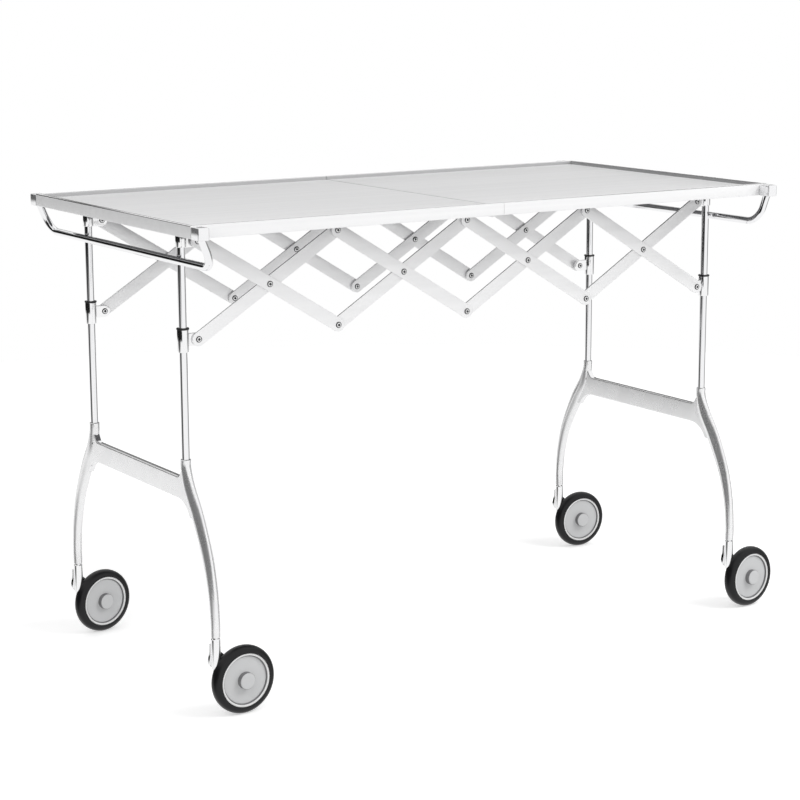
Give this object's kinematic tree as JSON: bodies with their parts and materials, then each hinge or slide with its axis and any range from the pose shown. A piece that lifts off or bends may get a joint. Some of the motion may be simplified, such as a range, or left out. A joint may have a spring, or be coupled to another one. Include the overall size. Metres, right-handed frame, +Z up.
{
  "type": "folding service table",
  "caption": "Folding service table on casters: two end frames, scissor lattices with sliding collars, and a rimmed top that folds up at its middle seam.",
  "frame": {"origin": "middle of the bounding box in plan, on the floor under the wheels", "axes": "+X along the table's length, towards the end that the casters trail to; +Y across its width, to the rear; +Z up"},
  "size_m": [1.0816, 0.5568, 0.703],
  "materials": {
    "leg_alloy": "satin",
    "rod_chrome": "polished",
    "lug_metal": "satin",
    "handle_chrome": "polished",
    "block_polish": "polished",
    "collar_metal": "satin",
    "ring_black": "matte",
    "rim_alloy": "satin",
    "sheet_steel": "satin",
    "hinge_steel": "satin",
    "bar_steel": "satin",
    "rivet_steel": "polished",
    "fork_metal": "polished",
    "hub_grey": "satin",
    "tyre_black": "matte"
  },
  "bodies": {
    "left_frame": {"left_leg_casting": "leg_alloy", "left_front_rod": "rod_chrome", "left_rear_rod": "rod_chrome", "left_top_lugs": "lug_metal", "left_handle": "handle_chrome", "left_handle_saddles": "lug_metal", "left_corner_blocks": "block_polish"},
    "left_panel": {"left_rim": "rim_alloy", "left_tray_sheet": "sheet_steel", "left_seam_hinges": "hinge_steel"},
    "left_collars": {"left_collars": "collar_metal", "left_collar_rings": "ring_black"},
    "right_frame": {"right_leg_casting": "leg_alloy", "right_front_rod": "rod_chrome", "right_rear_rod": "rod_chrome", "right_top_lugs": "lug_metal", "right_handle": "handle_chrome", "right_handle_saddles": "lug_metal", "right_corner_blocks": "block_polish"},
    "right_panel": {"right_rim": "rim_alloy", "right_tray_sheet": "sheet_steel", "right_seam_hinges": "hinge_steel"},
    "right_collars": {"right_collars": "collar_metal", "right_collar_rings": "ring_black"},
    "falling_bars_1": {"front_falling_bar_1": "bar_steel", "rear_falling_bar_1": "bar_steel", "falling_rivets_1": "rivet_steel"},
    "rising_bars_1": {"front_rising_bar_1": "bar_steel", "rear_rising_bar_1": "bar_steel"},
    "falling_bars_2": {"front_falling_bar_2": "bar_steel", "rear_falling_bar_2": "bar_steel", "falling_rivets_2": "rivet_steel"},
    "rising_bars_2": {"front_rising_bar_2": "bar_steel", "rear_rising_bar_2": "bar_steel", "rising_rivets_2": "rivet_steel"},
    "falling_bars_3": {"front_falling_bar_3": "bar_steel", "rear_falling_bar_3": "bar_steel", "falling_rivets_3": "rivet_steel"},
    "rising_bars_3": {"front_rising_bar_3": "bar_steel", "rear_rising_bar_3": "bar_steel", "rising_rivets_3": "rivet_steel"},
    "falling_bars_4": {"front_falling_bar_4": "bar_steel", "rear_falling_bar_4": "bar_steel", "falling_rivets_4": "rivet_steel"},
    "rising_bars_4": {"front_rising_bar_4": "bar_steel", "rear_rising_bar_4": "bar_steel"},
    "left_front_caster": {"left_front_caster_fork": "fork_metal"},
    "left_front_wheel": {"left_front_hub": "hub_grey", "left_front_tyre": "tyre_black"},
    "left_rear_caster": {"left_rear_caster_fork": "fork_metal"},
    "left_rear_wheel": {"left_rear_hub": "hub_grey", "left_rear_tyre": "tyre_black"},
    "right_front_caster": {"right_front_caster_fork": "fork_metal"},
    "right_front_wheel": {"right_front_hub": "hub_grey", "right_front_tyre": "tyre_black"},
    "right_rear_caster": {"right_rear_caster_fork": "fork_metal"},
    "right_rear_wheel": {"right_rear_hub": "hub_grey", "right_rear_tyre": "tyre_black"}
  },
  "joints": [
    {"name": "fold", "type": "hinge", "parent": "left_frame", "child": "left_panel", "pos_m": [-0.53229, 0, 0.694], "axis": [0, -1, 0], "range_deg": [0, 80.63]},
    {"name": "seam_fold", "type": "hinge", "parent": "left_panel", "child": "right_panel", "pos_m": [-0.02579, 0, 0.682], "axis": [0, 1, 0], "range_deg": [-0.02, 161.29]},
    {"name": "right_tilt", "type": "hinge", "parent": "right_panel", "child": "right_frame", "pos_m": [0.48071, 0, 0.694], "axis": [0, -1, 0], "range_deg": [-0.02, 80.65]},
    {"name": "left_top_pivot", "type": "hinge", "parent": "left_frame", "child": "falling_bars_1", "pos_m": [-0.48079, 0, 0.669], "axis": [0, 1, 0], "range_deg": [-0.02, 54]},
    {"name": "crossing_1", "type": "hinge", "parent": "falling_bars_1", "child": "rising_bars_1", "pos_m": [-0.36704, 0, 0.5995], "axis": [0, 1, 0], "range_deg": [-107.97, 0.02]},
    {"name": "bottom_joint_1", "type": "hinge", "parent": "falling_bars_1", "child": "rising_bars_2", "pos_m": [-0.25329, 0, 0.53], "axis": [0, 1, 0], "range_deg": [-107.97, 0.02]},
    {"name": "crossing_2", "type": "hinge", "parent": "rising_bars_2", "child": "falling_bars_2", "pos_m": [-0.13954, 0, 0.5995], "axis": [0, 1, 0], "range_deg": [-0.02, 107.97]},
    {"name": "left_collar_pivot", "type": "hinge", "parent": "rising_bars_1", "child": "left_collars", "pos_m": [-0.48079, 0, 0.53], "axis": [0, 1, 0], "range_deg": [-0.02, 54]},
    {"name": "right_top_pivot", "type": "hinge", "parent": "right_frame", "child": "rising_bars_4", "pos_m": [0.42921, 0, 0.669], "axis": [0, 1, 0], "range_deg": [-54, 0.02]},
    {"name": "crossing_4", "type": "hinge", "parent": "rising_bars_4", "child": "falling_bars_4", "pos_m": [0.31546, 0, 0.5995], "axis": [0, 1, 0], "range_deg": [-0.02, 107.97]},
    {"name": "bottom_joint_3", "type": "hinge", "parent": "rising_bars_4", "child": "falling_bars_3", "pos_m": [0.20171, 0, 0.53], "axis": [0, 1, 0], "range_deg": [-0.02, 107.97]},
    {"name": "crossing_3", "type": "hinge", "parent": "falling_bars_3", "child": "rising_bars_3", "pos_m": [0.08796, 0, 0.5995], "axis": [0, 1, 0], "range_deg": [-107.97, 0.02]},
    {"name": "right_collar_pivot", "type": "hinge", "parent": "falling_bars_4", "child": "right_collars", "pos_m": [0.42921, 0, 0.53], "axis": [0, 1, 0], "range_deg": [-54, 0.02]},
    {"name": "left_front_swivel", "type": "hinge", "parent": "left_frame", "child": "left_front_caster", "pos_m": [-0.50279, -0.231, 0.13], "axis": [0, 0, 1], "continuous": true},
    {"name": "left_front_wheel_spin", "type": "hinge", "parent": "left_front_caster", "child": "left_front_wheel", "pos_m": [-0.46345, -0.23645, 0.05], "axis": [-0.0523, 0.9986, 0], "continuous": true},
    {"name": "left_rear_swivel", "type": "hinge", "parent": "left_frame", "child": "left_rear_caster", "pos_m": [-0.50279, 0.231, 0.13], "axis": [0, 0, 1], "continuous": true},
    {"name": "left_rear_wheel_spin", "type": "hinge", "parent": "left_rear_caster", "child": "left_rear_wheel", "pos_m": [-0.46308, 0.23039, 0.05], "axis": [-0.1736, 0.9848, 0], "continuous": true},
    {"name": "right_front_swivel", "type": "hinge", "parent": "right_frame", "child": "right_front_caster", "pos_m": [0.45121, -0.231, 0.13], "axis": [0, 0, 1], "continuous": true},
    {"name": "right_front_wheel_spin", "type": "hinge", "parent": "right_front_caster", "child": "right_front_wheel", "pos_m": [0.49071, -0.23507, 0.05], "axis": [-0.0872, 0.9962, 0], "continuous": true},
    {"name": "right_rear_swivel", "type": "hinge", "parent": "right_frame", "child": "right_rear_caster", "pos_m": [0.45121, 0.231, 0.13], "axis": [0, 0, 1], "continuous": true},
    {"name": "right_rear_wheel_spin", "type": "hinge", "parent": "right_rear_caster", "child": "right_rear_wheel", "pos_m": [0.48976, 0.22147, 0.05], "axis": [0.0523, 0.9986, 0], "continuous": true}
  ],
  "couplings": [
    {"joint": "seam_fold", "follows": "fold", "ratio": 2},
    {"joint": "right_tilt", "follows": "fold", "ratio": 1},
    {"joint": "left_top_pivot", "follows": "fold", "ratio": 0.66938},
    {"joint": "crossing_1", "follows": "fold", "ratio": -1.3388},
    {"joint": "bottom_joint_1", "follows": "fold", "ratio": -1.3388},
    {"joint": "crossing_2", "follows": "fold", "ratio": 1.3388},
    {"joint": "left_collar_pivot", "follows": "fold", "ratio": 0.66938},
    {"joint": "right_top_pivot", "follows": "fold", "ratio": -0.66938},
    {"joint": "crossing_4", "follows": "fold", "ratio": 1.3388},
    {"joint": "bottom_joint_3", "follows": "fold", "ratio": 1.3388},
    {"joint": "crossing_3", "follows": "fold", "ratio": -1.3388},
    {"joint": "right_collar_pivot", "follows": "fold", "ratio": -0.66938}
  ]
}
